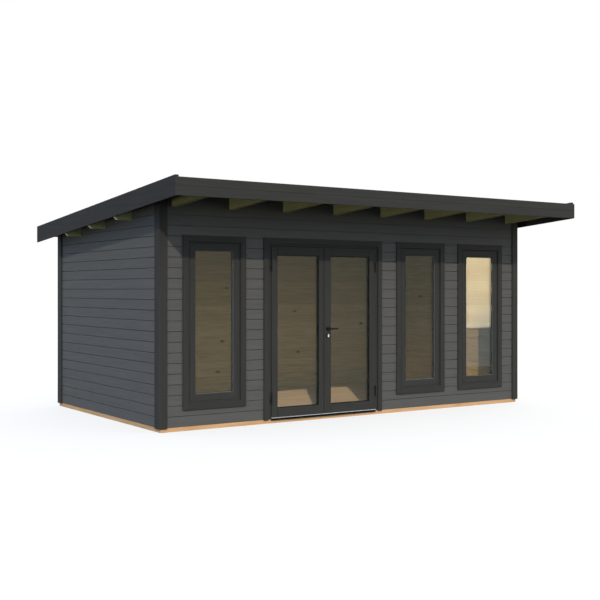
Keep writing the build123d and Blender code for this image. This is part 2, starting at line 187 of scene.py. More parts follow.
def grain_scale(across_mm, stretch, along):
    """Scale of a pattern that is this wide across the grain and so many times longer along it."""
    scale = [1000 / across_mm] * 3
    scale["XYZ".index(along)] = 1000 / across_mm / stretch
    return scale


def timber(name, light, dark, along, roughness, figure_mm, fibre_mm, relief, tone, knots=None, ends=None):
    """Timber with long grain along one axis: broad growth figure, fine fibre and a low relief.
    figure_mm and fibre_mm are their widths across the grain, drawn coarse enough to show.
    The boards differ by tone. Knots have the colour knots. The cut ends take the colour ends."""
    material, tree, shader = new_material(name, {"Roughness": roughness, "Specular IOR Level": TIMBER_SHINE})
    place = add(tree, "ShaderNodeTexCoord").outputs
    board = add(tree, "ShaderNodeAttribute", {"attribute_name": "board"}).outputs["Fac"]
    shift = add(tree, "ShaderNodeVectorMath", {"operation": "SCALE", 0: (31.0, 47.0, 19.0)}, Scale=board)
    moved = add(tree, "ShaderNodeVectorMath", {"operation": "ADD"}, _0=place["Object"], _1=shift.outputs[0])
    broad = add(tree, "ShaderNodeMapping", {"Scale": grain_scale(figure_mm, FIGURE_STRETCH, along)},
                Vector=moved.outputs[0])
    figure = add(tree, "ShaderNodeTexNoise",
                 {"Scale": 1.0, "Detail": 4.0, "Roughness": 0.55, "Distortion": 0.7}, Vector=broad.outputs[0])
    fine = add(tree, "ShaderNodeMapping", {"Scale": grain_scale(fibre_mm, FIBRE_STRETCH, along)},
               Vector=moved.outputs[0])
    fibre = add(tree, "ShaderNodeTexNoise", {"Scale": 1.0, "Detail": 3.0}, Vector=fine.outputs[0])
    ramp = add(tree, "ShaderNodeValToRGB", None, Fac=figure.outputs["Fac"])
    for stop, position, code in zip(ramp.color_ramp.elements, (0.32, 0.68), (dark, light)):
        stop.position = position
        stop.color = linear(code)
    colour = ramp.outputs["Color"]
    if knots:
        scattered = add(tree, "ShaderNodeMapping", {"Scale": grain_scale(KNOT_MM, KNOT_STRETCH, along)},
                        Vector=moved.outputs[0])
        cells = add(tree, "ShaderNodeTexVoronoi", {"Scale": 1.0, "Randomness": 1.0},
                    Vector=scattered.outputs[0])
        spot = add(tree, "ShaderNodeMapRange",
                   {"From Min": 0.035, "From Max": 0.10, "To Min": 0.85, "To Max": 0.0},
                   Value=cells.outputs["Distance"])
        colour = add(tree, "ShaderNodeMix", {"data_type": "RGBA", 7: linear(knots)},
                     Factor=spot.outputs[0], _6=colour).outputs[2]
    if ends:
        grain_axis = [float(axis == along) for axis in "XYZ"]
        facing = add(tree, "ShaderNodeVectorMath", {"operation": "DOT_PRODUCT", 1: grain_axis},
                     _0=place["Normal"])
        turned = add(tree, "ShaderNodeMath", {"operation": "ABSOLUTE"}, _0=facing.outputs["Value"])
        cut = add(tree, "ShaderNodeMapRange", {"From Min": 0.45, "From Max": 0.6}, Value=turned.outputs[0])
        colour = add(tree, "ShaderNodeMix", {"data_type": "RGBA", 7: linear(ends)},
                     Factor=cut.outputs[0], _6=colour).outputs[2]
    board_tone = add(tree, "ShaderNodeMapRange", {"To Min": 1.0 - tone, "To Max": 1.0 + tone}, Value=board)
    streak = add(tree, "ShaderNodeMapRange", {"From Min": 0.3, "From Max": 0.7, "To Min": 0.93, "To Max": 1.06},
                 Value=fibre.outputs["Fac"])
    together = add(tree, "ShaderNodeMath", {"operation": "MULTIPLY"},
                   _0=board_tone.outputs[0], _1=streak.outputs[0])
    toned = add(tree, "ShaderNodeVectorMath", {"operation": "SCALE"}, _0=colour, Scale=together.outputs[0])
    tree.links.new(toned.outputs[0], shader.inputs["Base Color"])
    bump = add(tree, "ShaderNodeBump", {"Strength": 0.5, "Distance": relief}, Height=fibre.outputs["Fac"])
    tree.links.new(bump.outputs[0], shader.inputs["Normal"])
    return material


def plain_coat(name, code, roughness, metallic, speck_mm, swing, relief):
    """Even coating or bare metal, with the faint cloudiness and orange peel that a real surface has.
    The peel's specks are speck_mm wide, and the cloudiness swings the colour by swing."""
    material, tree, shader = new_material(name, {"Roughness": roughness, "Metallic": metallic,
                                                 "Specular IOR Level": COAT_SHINE})
    place = add(tree, "ShaderNodeTexCoord").outputs["Object"]
    cloud = add(tree, "ShaderNodeTexNoise", {"Scale": 1000 / speck_mm / CLOUD_STRETCH, "Detail": 4.0}, Vector=place)
    peel = add(tree, "ShaderNodeTexNoise", {"Scale": 1000 / speck_mm, "Detail": 2.0}, Vector=place)
    level = add(tree, "ShaderNodeMapRange",
                {"From Min": 0.3, "From Max": 0.7, "To Min": 1 - swing, "To Max": 1 + swing},
                Value=cloud.outputs["Fac"])
    toned = add(tree, "ShaderNodeVectorMath", {"operation": "SCALE", 0: linear(code)[:3]},
                Scale=level.outputs[0])
    tree.links.new(toned.outputs[0], shader.inputs["Base Color"])
    bump = add(tree, "ShaderNodeBump", {"Strength": 0.4, "Distance": relief}, Height=peel.outputs["Fac"])
    tree.links.new(bump.outputs[0], shader.inputs["Normal"])
    return material


# Planed spruce with an opaque grey stain: nearly even, the fibre just shows as fine streaks
WALL_STAIN = {axis: timber("grey_stained_spruce_" + axis, "#636261", "#5e5d5c", axis,
                           roughness=0.62, figure_mm=30, fibre_mm=5, relief=0.0005, tone=0.02)
              for axis in "XY"}
# Planed spruce with dark grey microporous paint: darker and smoother than the wall, a soft satin shine
DARK_PAINT = {axis: timber("dark_grey_painted_spruce_" + axis, "#424241", "#3d3d3c", axis,
                           roughness=0.5, figure_mm=40, fibre_mm=5, relief=0.0004, tone=0.02)
              for axis in "XYZ"}
# The fascia boards have the same paint; along the slope, on the side fascias, it is one shade darker as painted
# shade
FASCIA_PAINT_AND_SHADE = {axis: timber("grey_painted_fascia_board_" + axis, light, dark, axis,
                             roughness=0.55, figure_mm=40, fibre_mm=6, relief=0.0005, tone=0.03)
                for axis, light, dark in (("X", "#424241", "#3d3d3c"), ("Y", "#3e3e3e", "#383838"))}
# Pressure-impregnated spruce, planed: the olive cast of the salts over a visible figure, with paler sawn ends.
# Along X, on the lookouts, it is lighter with near-white ends, as painted light and a painted highlight on the
# ends; along Y, on the rafters, it is darker
OLIVE_SPRUCE_LIT_AND_SHADED = {axis: timber("impregnated_spruce_" + axis, light, dark, axis,
                             roughness=0.7, figure_mm=18, fibre_mm=4, relief=0.0006, tone=0.05, ends=end)
                for axis, light, dark, end in (("X", "#c4c08e", "#b1ad7d", "#f6ead0"),
                                               ("Y", "#a6a67a", "#929367", "#b9b894"))}
# Roof boards seen from below, near black-brown: the deep shade under the roof painted into their colour
SOFFIT_PAINTED_SHADE = timber("soffit_board_painted_shade", "#2b2e26", "#23261f", "X",
                      roughness=0.7, figure_mm=25, fibre_mm=5, relief=0.0006, tone=0.05)
# Clear-finished pine inside: warm, with darker late wood and knots
INSIDE_PINE = {axis: timber("clear_pine_lining_" + axis, "#d3b884", "#bc9b64", axis,
                            roughness=0.55, figure_mm=14, fibre_mm=4, relief=0.0004, tone=0.08, knots="#5b3a20")
               for axis in "XY"}
# Planed spruce without a finish on the floor: paler than the lining
FLOOR_SPRUCE = timber("bare_planed_spruce_floor", "#f6ddba", "#dab991", "X",
                      roughness=0.6, figure_mm=16, fibre_mm=4, relief=0.0004, tone=0.05)
# Sawn pine at the ground: orange-yellow, rough, no coating; along the sides a shade darker and greyer as painted
# shade
SAWN_PINE_AND_SIDE_SHADE = {axis: timber("sawn_pine_" + axis, light, dark, axis,
                          roughness=0.8, figure_mm=16, fibre_mm=4, relief=0.0010, tone=0.06)
             for axis, light, dark in (("X", "#eebe95", "#d5a470"), ("Y", "#ddb58c", "#c59a69"))}
# Hardwood with a black stain: the sill under the threshold, dull and almost black
DARK_SILL = timber("black_stained_hardwood_sill", "#20211f", "#1a1b1a", "X",
                   roughness=0.6, figure_mm=20, fibre_mm=4, relief=0.0004, tone=0.03)
# Bitumen roofing sheet with a fine mineral grit, matte and dark
BITUMEN = plain_coat("mineral_surfaced_bitumen_sheet", "#333436",
                     roughness=0.9, metallic=0.0, speck_mm=5.0, swing=0.25, relief=0.0012)
# Extruded aluminium, mill finish: pale grey with a soft streaky shine
THRESHOLD_METAL = plain_coat("extruded_aluminium", "#c3c8cc",
                             roughness=0.5, metallic=0.35, speck_mm=8.0, swing=0.06, relief=0.0001)
# Powder-coated steel, black, with a faint orange peel: lever, rosettes and keyway
BLACK_COAT = plain_coat("black_powder_coated_steel", "#17181a",
                        roughness=0.42, metallic=0.0, speck_mm=1.5, swing=0.05, relief=0.00005)
# Powder-coated steel, a shade greyer and duller: the hinges
HINGE_COAT = plain_coat("grey_powder_coated_steel", "#1b1c1c",
                        roughness=0.45, metallic=0.0, speck_mm=1.5, swing=0.05, relief=0.00005)
# Nickel-plated brass: the bright lock cylinder
NICKEL = plain_coat("nickel_plated_brass", "#d9dadb",
                    roughness=0.22, metallic=1.0, speck_mm=3.0, swing=0.03, relief=0.00002)
# Extruded rubber, black and matte: weather seal, spacers and the beads of the door's panes
SEAL_RUBBER = plain_coat("extruded_seal_rubber", "#101112",
                         roughness=0.75, metallic=0.0, speck_mm=4.0, swing=0.08, relief=0.0001)
# Grey glazing sealant, tooled smooth: the thin light line at the far edge of each window pane
SEALANT = plain_coat("tooled_grey_sealant", "#606263",
                     roughness=0.6, metallic=0.0, speck_mm=5.0, swing=0.05, relief=0.0001)
# Grey painted bead on the inside of the windows: a darker line behind the glass
GREY_BEAD = plain_coat("grey_painted_glazing_bead", "#4c4d4c",
                       roughness=0.6, metallic=0.0, speck_mm=6.0, swing=0.05, relief=0.0001)
# Zinc-plated steel: the hinge screws' heads, pale specks on the dark plates
ZINC = plain_coat("zinc_plated_steel", "#8d9091",
                  roughness=0.4, metallic=0.9, speck_mm=2.0, swing=0.06, relief=0.00003)
# Float glass of a sealed unit: lets the light through, mirrors a little of what stands in front
PANE = new_material("clear_float_glass", {"Base Color": linear("#dcecdc"), "Metallic": 1.0, "Roughness": 0.02,
                                          "Alpha": 0.026})[0]


# Shapes

def open_mesh():
    """An empty mesh whose faces carry a random number for the board they belong to."""
    shape = bmesh.new()
    layer = shape.faces.layers.float.new("board")
    return shape, layer


def finish_piece(name, shape, materials, body, smooth_angle=None):
    """Turns the mesh into a piece that rides on a body."""
    bmesh.ops.recalc_face_normals(shape, faces=shape.faces)
    mesh = bpy.data.meshes.new(name)
    shape.to_mesh(mesh)
    shape.free()
    piece = bpy.data.objects.new(name, mesh)
    bpy.context.scene.collection.objects.link(piece)
    for material in materials:
        mesh.materials.append(material)
    if smooth_angle:
        mesh.shade_smooth()
        mesh.set_sharp_from_angle(angle=math.radians(smooth_angle))
    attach(piece, body)
    return piece


def run(shape, layer, profile, place, start, end, number, side_material=None):
    """A straight length: profile points (u, v) set out by place(u, v, w) from w = start to w = end.
    Its faces carry number. side_material(u) of the middle of a side gives that side's material."""
    near = [shape.verts.new(place(u, v, start)) for u, v in profile]
    far = [shape.verts.new(place(u, v, end)) for u, v in profile]
    count = len(profile)
    for i in range(count):
        j = (i + 1) % count
        face = shape.faces.new((near[i], near[j], far[j], far[i]))
        face[layer] = number
        if side_material:
            face.material_index = side_material((profile[i][0] + profile[j][0]) / 2)
    for outline in (near[::-1], far):
        face = shape.faces.new(outline)
        face[layer] = number


def ring(shape, layer, profile, x0, x1, z0, z1, y, rails=None):
    """A mitred ring in the front wall's plane: profile points (inset from the outer edge, depth).
    With rails, the top and bottom have that section, and the uprights carry the second material."""
    loops = []
    for (side, depth), (end, _) in zip(profile, rails or profile):
        corners = ((x0 + side, z0 + end), (x1 - side, z0 + end), (x1 - side, z1 - end), (x0 + side, z1 - end))
        loops.append([shape.verts.new((x, y + depth, z)) for x, z in corners])
    for a, b in zip(loops, loops[1:] + loops[:1]):
        for i in range(4):
            j = (i + 1) % 4
            face = shape.faces.new((a[i], a[j], b[j], b[i]))
            face[layer] = random.random()
            if rails:
                face.material_index = i % 2


def bar(shape, stations):
    """A bar through oval sections, each a centre and two half axes, closed at both ends."""
    sides = 20
    turns = [2 * math.pi * i / sides for i in range(sides)]
    loops = [[shape.verts.new(Vector(centre) + Vector(wide) * math.cos(t) + Vector(thick) * math.sin(t))
              for t in turns] for centre, wide, thick in stations]
    for a, b in zip(loops, loops[1:]):
        for i in range(sides):
            shape.faces.new((a[i - 1], a[i], b[i], b[i - 1]))
    shape.faces.new(loops[0][::-1])
    shape.faces.new(loops[-1])


def strips(start, end, width):
    """Splits a length into strips of this width, the last one as wide as what is left."""
    cuts = []
    nearly = 0.0001
    while start < end - nearly:
        cuts.append((start, min(start + width, end)))
        start = cuts[-1][1]
    return cuts


def trim_to_roof(shape, lift):
    """Cuts off everything above the line that lies lift over the rafters' undersides."""
    everything = shape.verts[:] + shape.edges[:] + shape.faces[:]
    normal = Vector((0, SLOPE, 1)).normalized()
    cut = bmesh.ops.bisect_plane(shape, geom=everything, plane_co=(0, FRONT, SEAT + lift), plane_no=normal,
                                 clear_outer=True)
    edges = [e for e in cut["geom_cut"] if isinstance(e, bmesh.types.BMEdge)]
    bmesh.ops.edgeloop_fill(shape, edges=edges)


def courses(shape, layer, place, start, end, high, tones, low=BASE_TOP):
    """Horizontal wall boards between two heights, stained outside and clear inside.
    Only a board's own edges are chamfered, so a notched board stays whole."""
    nearly = 1e-6
    first = int((low - BASE_TOP) / BOARD + nearly)
    last = int(math.ceil((high - BASE_TOP) / BOARD - nearly))
    edge = [(0.0, CHAMFER_TOP), (CHAMFER_DEPTH, SLIT_HALF), (SLIT_DEPTH, SLIT_HALF), (SLIT_DEPTH, 0.0)]
    for k in range(first, last):
        foot = BASE_TOP + k * BOARD
        head = foot + BOARD
        z0 = max(foot, low)
        z1 = min(head, high)
        low_edge = [(u, z0 + v) for u, v in edge] if z0 == foot and k > 0 else [(0.0, z0)]
        high_edge = [(u, z1 - v) for u, v in edge] if z1 == head else [(0.0, z1)]
        outside = low_edge[::-1] + high_edge
        inside = [(WALL - u, v) for u, v in high_edge[::-1] + low_edge]
        run(shape, layer, outside + inside, place, start, end, tones[k], lambda u: int(u > WALL / 2))


# Walls

def from_front(u, v, w):
    """A point u behind the front wall's outer face, at height v and w along the front."""
    return (w, FRONT + u, v)


tones = [random.random() for _ in range(COURSES)]
back_tones = [random.random() for _ in range(COURSES)]

# Front wall, notched round the openings
shape, layer = open_mesh()
windows = [(left + TRIM_COVER, left + WINDOW_WIDTH - TRIM_COVER) for left in WINDOWS]
doorway = (DOOR[0] + TRIM_COVER, DOOR[1] - TRIM_COVER)
edges = [-HALF_WIDTH] + sorted(x for opening in windows + [doorway] for x in opening) + [HALF_WIDTH]
for start, end in zip(edges[0::2], edges[1::2]):
    courses(shape, layer, from_front, start, end, OPENING_TOP, tones)
for start, end in windows:
    courses(shape, layer, from_front, start, end, SILL_LOW, tones)
courses(shape, layer, from_front, -HALF_WIDTH, HALF_WIDTH, UNCUT_FRONT, tones, low=OPENING_TOP)
trim_to_roof(shape, 0.0)
front_boards = finish_piece("front_wall_boards", shape, [WALL_STAIN["X"], INSIDE_PINE["X"]],
                            "house")
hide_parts("front_wall_piers", "front_wall_under_windows", "front_wall_head")

# Back wall
shape, layer = open_mesh()
courses(shape, layer, lambda u, v, w: (w, BACK - u, v), -HALF_WIDTH, HALF_WIDTH, UNCUT_BACK, back_tones)
trim_to_roof(shape, 0.0)
back_boards = finish_piece("back_wall_boards", shape, [WALL_STAIN["X"], INSIDE_PINE["X"]],
                           "house")
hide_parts("back_wall")

# Side walls run on up between the rafters, to the soffit; the left one takes the front wall's tones
for side, name in ((-1, "left"), (1, "right")):
    shape, layer = open_mesh()
    courses(shape, layer, lambda u, v, w: (side * (HALF_WIDTH - u), w, v), FRONT + WALL, BACK - WALL,
            UNCUT_SIDE, tones if side < 0 else back_tones)
    trim_to_roof(shape, RAFTER_LIFT)
    boards = finish_piece(name + "_wall_boards", shape, [WALL_STAIN["Y"], INSIDE_PINE["Y"]],
                          "house")
    if side < 0:
        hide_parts("side_walls")

# Roof and floor

# Roof boards across the rafters, tongued and grooved, their chamfers showing below
shape, layer = open_mesh()
chamfer = 0.004
for a, b in strips(FRONT_TIP + FASCIA, BACK_TIP - FASCIA, ROOF_BOARD):
    profile = [(a, chamfer), (a + chamfer, 0.0), (b - chamfer, 0.0), (b, chamfer),
               (b, BOARD_LIFT), (a, BOARD_LIFT)]
    run(shape, layer, profile, lambda u, v, w: (w, u, under_rafters(u) + RAFTER_LIFT + v),
        -DECK_HALF, DECK_HALF, random.random())
# Their near-black colour is painted shade
deck = finish_piece("roof_deck_boards", shape, [SOFFIT_PAINTED_SHADE], "house")
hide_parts("roof_boards")

# Floor boards along the front, on the joists, their upper edges eased
shape, layer = open_mesh()
ease = 0.0015
half_floor = HALF_WIDTH - FLOOR_MARGIN
for a, b in strips(FRONT + FLOOR_MARGIN, BACK - FLOOR_MARGIN, FLOOR_BOARD):
    profile = [(a, BASE_TOP), (b, BASE_TOP), (b, FLOOR_TOP - ease), (b - ease, FLOOR_TOP),
               (a + ease, FLOOR_TOP), (a, FLOOR_TOP - ease)]
    run(shape, layer, profile, lambda u, v, w: (w, u, v), -half_floor, half_floor, random.random())
floor_boards = finish_piece("floor_boards_laid", shape, [FLOOR_SPRUCE], "house")
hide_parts("floor_boards")

# Front fascia: two boards with a fine joint just over the middle, the arrises eased
shape, layer = open_mesh()
ease = 0.0025
low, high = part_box("front_fascia")[0].z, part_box("front_fascia")[1].z
middle = low + (high - low) * FASCIA_JOINT
for z0, z1 in ((low, middle), (middle, high)):
    profile = [(0.0, z0 + ease), (ease, z0), (FASCIA - ease, z0), (FASCIA, z0 + ease), (FASCIA, z1 - ease),
               (FASCIA - ease, z1), (ease, z1), (0.0, z1 - ease)]
    run(shape, layer, profile, lambda u, v, w: (w, FRONT_TIP + u, v), -HALF_ROOF, HALF_ROOF, random.random())
fascia = finish_piece("front_fascia_boards", shape, [FASCIA_PAINT_AND_SHADE["X"]], "house")
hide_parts("front_fascia")

# Roof covering: sheets along the slope with welded laps
shape, layer = open_mesh()
lap_width, lap_height, lap_slant = 0.08, 0.0035, 0.004
for a, b in strips(-DECK_HALF, DECK_HALF, SHEET):
    profile = [(a, 0.0), (b, 0.0), (b, COVER_LIFT)]
    if b < DECK_HALF:
        profile += [(b - lap_slant, COVER_LIFT + lap_height), (b - lap_width, COVER_LIFT + lap_height),
                    (b - lap_width - lap_slant, COVER_LIFT)]
    profile += [(a, COVER_LIFT)]
    run(shape, layer, profile, lambda u, v, w: (u, w, under_rafters(w) + RAFTER_LIFT + BOARD_LIFT + v),
        FRONT_TIP + FASCIA, BACK_TIP - FASCIA, random.random())
sheets = finish_piece("roofing_sheets", shape, [BITUMEN], "house")
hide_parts("roof_covering")


# Windows and door

def sash_section(width):
    """Section of a sash member from its outer edge inwards, as (inset, depth behind the face)."""
    ease, chamfer = 0.0015, 0.004
    groove, glass_front, glass_back = 0.012, 0.016, 0.040
    quirk = [(0.0085, 0.0), (0.0093, 0.004), (0.0117, 0.004), (0.0125, 0.0)]
    return [(0.0, ease), (ease, 0.0), *quirk, (width - chamfer, 0.0), (width, chamfer), (width, glass_front),
            (width - groove, glass_front), (width - groove, glass_back), (width, glass_back),
            (width, SASH_DEPTH), (0.0, SASH_DEPTH)]


# Window sashes: a mitred ring with a shadow quirk round the outside, chamfered sight edge and glass groove
shape, layer = open_mesh()
for left in WINDOWS:
    ring(shape, layer, sash_section(SASH_STILE), left + SASH_INSET, left + WINDOW_WIDTH - SASH_INSET,
         WINDOW_LOW + SASH_INSET, WINDOW_TOP - SASH_INSET, SASH_FACE, sash_section(SASH_RAIL))
sashes = finish_piece("window_sashes", shape, [DARK_PAINT["X"], DARK_PAINT["Z"]], "house")
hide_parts("window_sash_stiles", "window_sash_rails")

# Bead that closes the gap between the sash and the trim below it, as (depth, height)
sill_bead = [(-0.0045, 0.0), (0.012, 0.0), (0.012, 0.0085), (-0.0035, 0.0085), (-0.0045, 0.0075)]
bead_inset = WINDOW_TRIM + 0.0005
shape, layer = open_mesh()
for left in WINDOWS:
    run(shape, layer, sill_bead, lambda u, v, w: (w, FRONT + u, WINDOW_LOW + WINDOW_TRIM + v),
        left + bead_inset, left + WINDOW_WIDTH - bead_inset, random.random())
finish_piece("window_sill_beads", shape, [DARK_PAINT["X"]], "house")

# Sections at the edge of a sealed unit, as (inset from the sight edge, depth behind the face)
FRONT_BEAD = [(-0.0005, 0.0045), (0.0010, 0.0050), (0.0022, 0.0150), (0.0060, 0.0158), (-0.0005, 0.0158)]
SPACER = [(-0.0090, 0.0175), (0.0045, 0.0175), (0.0045, 0.0385), (-0.0090, 0.0385)]
BACK_BEAD = [(-0.0005, 0.0402), (0.0060, 0.0402), (0.0024, 0.0440), (0.0012, 0.0550), (-0.0005, 0.0550)]


def glazing(name, body, x0, x1, z0, z1, face, bead, inner_bead):
    """Bead in the front reveal, dark warm-edge spacer between the panes and bead on the inside of one unit."""
    for part, profile, finish in (("_outer_bead", FRONT_BEAD, bead), ("_spacer", SPACER, SEAL_RUBBER),
                                  ("_inner_bead", BACK_BEAD, inner_bead)):
        shape, layer = open_mesh()
        ring(shape, layer, profile, x0, x1, z0, z1, face)
        finish_piece(name + part, shape, [finish], body)


sight_side, sight_end = SASH_INSET + SASH_STILE, SASH_INSET + SASH_RAIL
for number, left in enumerate(WINDOWS):
    glazing("window_" + str(number + 1), "house", left + sight_side, left + WINDOW_WIDTH - sight_side,
            WINDOW_LOW + sight_end, WINDOW_TOP - sight_end, SASH_FACE, SEALANT, GREY_BEAD)
for body, (x_left, x_right) in LEAVES.items():
    glazing(body, body, x_left + STILES[body][0], x_right - STILES[body][1], LEAF_LOW + BOTTOM_RAIL,
            LEAF_TOP - TOP_RAIL, LEAF_FACE, SEAL_RUBBER, SEAL_RUBBER)

# Drip nose under the front edge of the door's sill, as (depth, height)
drip_nose = [(-0.0195, 0.0), (-0.0195, -0.010), (-0.0185, -0.011), (-0.0125, -0.011), (-0.0115, -0.010),
             (-0.0005, -0.010), (-0.0005, 0.0)]
shape, layer = open_mesh()
run(shape, layer, drip_nose, lambda u, v, w: (w, FRONT + u, BASE_TOP + v),
    DOOR[0] + REVEAL, DOOR[1] - REVEAL, NO_BOARD)
finish_piece("sill_drip_nose", shape, [DARK_SILL], "house")

# Weather seal along the door frame's stop, where the leaves close, as (inset, depth)
seal = [(0.0, 0.0), (0.010, 0.0), (0.009, -0.0035), (0.005, -0.0045), (0.001, -0.0035)]
seal_left, seal_right = DOOR[0] + REVEAL + SEAL_INSET, DOOR[1] - REVEAL - SEAL_INSET
shape, layer = open_mesh()
for place, start, end in ((lambda u, v, w: (seal_left + u, STOP_FACE + v, w), FLOOR_TOP, SEAL_TOP),
                          (lambda u, v, w: (seal_right - u, STOP_FACE + v, w), FLOOR_TOP, SEAL_TOP),
                          (lambda u, v, w: (w, STOP_FACE + v, STOP_TOP - u), seal_left, seal_right)):
    run(shape, layer, seal, place, start, end, NO_BOARD)
finish_piece("door_weather_seal", shape, [SEAL_RUBBER], "house")

# Ironmongery

# Lever: a forged bar that leaves the rosette round, bends and runs out flat and narrower, one on each face.
# Its stations: way along the leaf, way off its face, turn, half thickness, half height
NECK = 0.009                 # radius of the round neck
NECK_END = 0.030             # where the bend begins
BEND = 0.0165                # radius of the bend
BEND_STEPS = 8
GRIP = NECK_END + BEND       # how far the grip stands off the leaf
QUARTER = math.pi / 2
lever_path = [(0.0, 0.0005, 0, NECK, NECK), (0.0, NECK_END, 0, NECK, NECK)]
for step in range(1, BEND_STEPS + 1):
    share = step / BEND_STEPS
    turn = math.radians(90 * share)
    lever_path.append((BEND - BEND * math.cos(turn), NECK_END + BEND * math.sin(turn), turn,
                       NECK - 0.0035 * share, NECK + 0.001 * share))
lever_path += [(0.060, GRIP, QUARTER, 0.0052, 0.0095), (0.108, GRIP, QUARTER, 0.0048, 0.0090),
               (0.115, GRIP, QUARTER, 0.0044, 0.0078), (0.1185, GRIP, QUARTER, 0.0034, 0.0055),
               (0.120, GRIP, QUARTER, 0.0016, 0.0025)]
shape, layer = open_mesh()
for face_y, outward in HANDLE_SIDES:
    bar(shape, [((SPINDLE[0] + x, face_y + outward * off, SPINDLE[1]),
                 (thin * math.cos(turn), -outward * thin * math.sin(turn), 0), (0, 0, tall))
                for x, off, turn, thin, tall in lever_path])
lever = finish_piece("swept_lever_handle", shape, [BLACK_COAT], "lever", smooth_angle=50)
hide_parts("lever_handle")

# Key plug, proud of the lock cylinder, with its keyway: half width, half height, and from where to where
# each one stands off the leaf
for name, finish, wide, tall, near, far in (("lock_plug", NICKEL, 0.0066, 0.0066, 0.0135, 0.0146),
                                            ("keyway", BLACK_COAT, 0.0011, 0.0042, 0.0140, 0.0149)):
    shape, layer = open_mesh()
    for face_y, outward in HANDLE_SIDES:
        bar(shape, [((SPINDLE[0], face_y + outward * off, SPINDLE[1] - LOCK_DROP + PLUG_RISE),
                     (wide, 0, 0), (0, 0, tall)) for off in (near, far)])
    finish_piece(name, shape, [finish], "right_leaf", smooth_angle=40)

# Hinge screws and the domed caps of the knuckles, as (rise, radius)
SCREW_HEAD = ((0, 0.0034), (0.0004, 0.0034), (0.0009, 0.0024), (0.0011, 0.0008))
CAP = ((0, 0.0064), (0.0010, 0.0064), (0.0030, 0.0050), (0.0040, 0.0022))
screws = {body: open_mesh()[0] for body in ("house", "left_leaf", "right_leaf")}
caps = {body: open_mesh()[0] for body in ("house", "left_leaf", "right_leaf")}
for leaf, axis_x, inward in (("left_leaf", LEAVES["left_leaf"][0] - HINGE_OUT, 1),
                             ("right_leaf", LEAVES["right_leaf"][1] + HINGE_OUT, -1)):
    for height in HINGE_HEIGHTS:
        foot = height - KNUCKLE
        for body, way, face_y, low, tip, up in (
                (leaf, inward, LEAF_FACE, height, height + KNUCKLE_GAP + KNUCKLE, 1),
                ("house", -inward, FRONT, foot, foot, -1)):
            x = axis_x + way * SCREW_OUT
            for screw_height in SCREW_HEIGHTS:
                bar(screws[body], [((x, face_y - HINGE_PLATE - rise, low + screw_height), (r, 0, 0), (0, 0, r))
                                   for rise, r in SCREW_HEAD])
            bar(caps[body], [((axis_x, HINGE_Y, tip + up * rise), (r, 0, 0), (0, r, 0)) for rise, r in CAP])
for body in screws:
    finish_piece(body + "_hinge_screws", screws[body], [ZINC], body, smooth_angle=40)
    finish_piece(body + "_hinge_caps", caps[body], [HINGE_COAT], body, smooth_angle=40)

# The construction model's other pieces keep their shape, with a finish and arrises eased by this much
FINISHES = (
    (SAWN_PINE_AND_SIDE_SHADE["X"], 0.0015, ["base_timbers_long"]),
    # Side timbers and joists take the darker, greyer copy: painted shade
    (SAWN_PINE_AND_SIDE_SHADE["Y"], 0.0015, ["base_timbers_short", "floor_joists"]),
    (DARK_PAINT["Z"], 0.003, ["corner_trims", "window_trim_uprights", "door_trim_posts"]),
    (DARK_PAINT["X"], 0.003, ["window_trim_rails", "door_trim_head"]),
    (DARK_PAINT["Z"], 0.001, ["window_frame_uprights", "door_frame_posts"]),
    (DARK_PAINT["X"], 0.001, ["window_frame_rails", "door_frame_head"]),
    (DARK_PAINT["Z"], 0.0015, ["left_leaf_stiles", "right_leaf_stiles"]),
    (DARK_PAINT["X"], 0.0015, ["left_leaf_rails", "right_leaf_rails"]),
    (DARK_SILL, 0.001, ["door_sill"]),
    (THRESHOLD_METAL, 0.0006, ["door_threshold"]),
    (HINGE_COAT, 0.0005, ["frame_hinges", "left_leaf_hinges", "right_leaf_hinges"]),
    (BLACK_COAT, 0.0015, ["handle_rosettes"]),
    (NICKEL, 0.001, ["lock_cylinder"]),
    # Rafters and lookouts: darker and lighter copies of the olive timber, with a painted highlight on the lookouts'
    # sawn ends
    (OLIVE_SPRUCE_LIT_AND_SHADED["Y"], 0.002, ["rafters"]),
    (OLIVE_SPRUCE_LIT_AND_SHADED["X"], 0.002, ["lookouts"]),
    (WALL_STAIN["X"], 0.001, ["rafter_blocks"]),
    # Side fascias and edge battens take the darker copy: painted shade
    (FASCIA_PAINT_AND_SHADE["Y"], 0.002, ["side_fascias", "roof_edge_battens"]),
    (FASCIA_PAINT_AND_SHADE["X"], 0.002, ["back_fascia"]),
    (PANE, 0, ["window_glass", "left_leaf_glass", "right_leaf_glass"]),
)
for finish, ease, nodes in FINISHES:
    for node in nodes:
        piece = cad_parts[node]
        piece.data.materials.clear()
        piece.data.materials.append(finish)
        if ease:
            joined = piece.modifiers.new("join_corners", "WELD")
            joined.merge_threshold = 0.00005
            eased = piece.modifiers.new("eased_arrises", "BEVEL")
            eased.width = ease
            eased.segments = 2
            eased.limit_method = "ANGLE"
            eased.angle_limit = math.radians(35)


# Studio

def seen_directly(tree):
    """1 for camera, glossy and transmission rays, which see the background white, 0 for light on the object."""
    path = add(tree, "ShaderNodeLightPath").outputs
    share = path["Is Camera Ray"]
    for kind in ("Is Glossy Ray", "Is Transmission Ray"):
        share = add(tree, "ShaderNodeMath", {"operation": "MAXIMUM"}, _0=share, _1=path[kind]).outputs[0]
    return share


def sheet(name, corners, material):
    """A flat sheet of the studio."""
    mesh = bpy.data.meshes.new(name)
    mesh.from_pydata(corners, [], [(0, 1, 2, 3)])
    mesh.materials.append(material)
    flat = bpy.data.objects.new(name, mesh)
    bpy.context.scene.collection.objects.link(flat)
    return flat


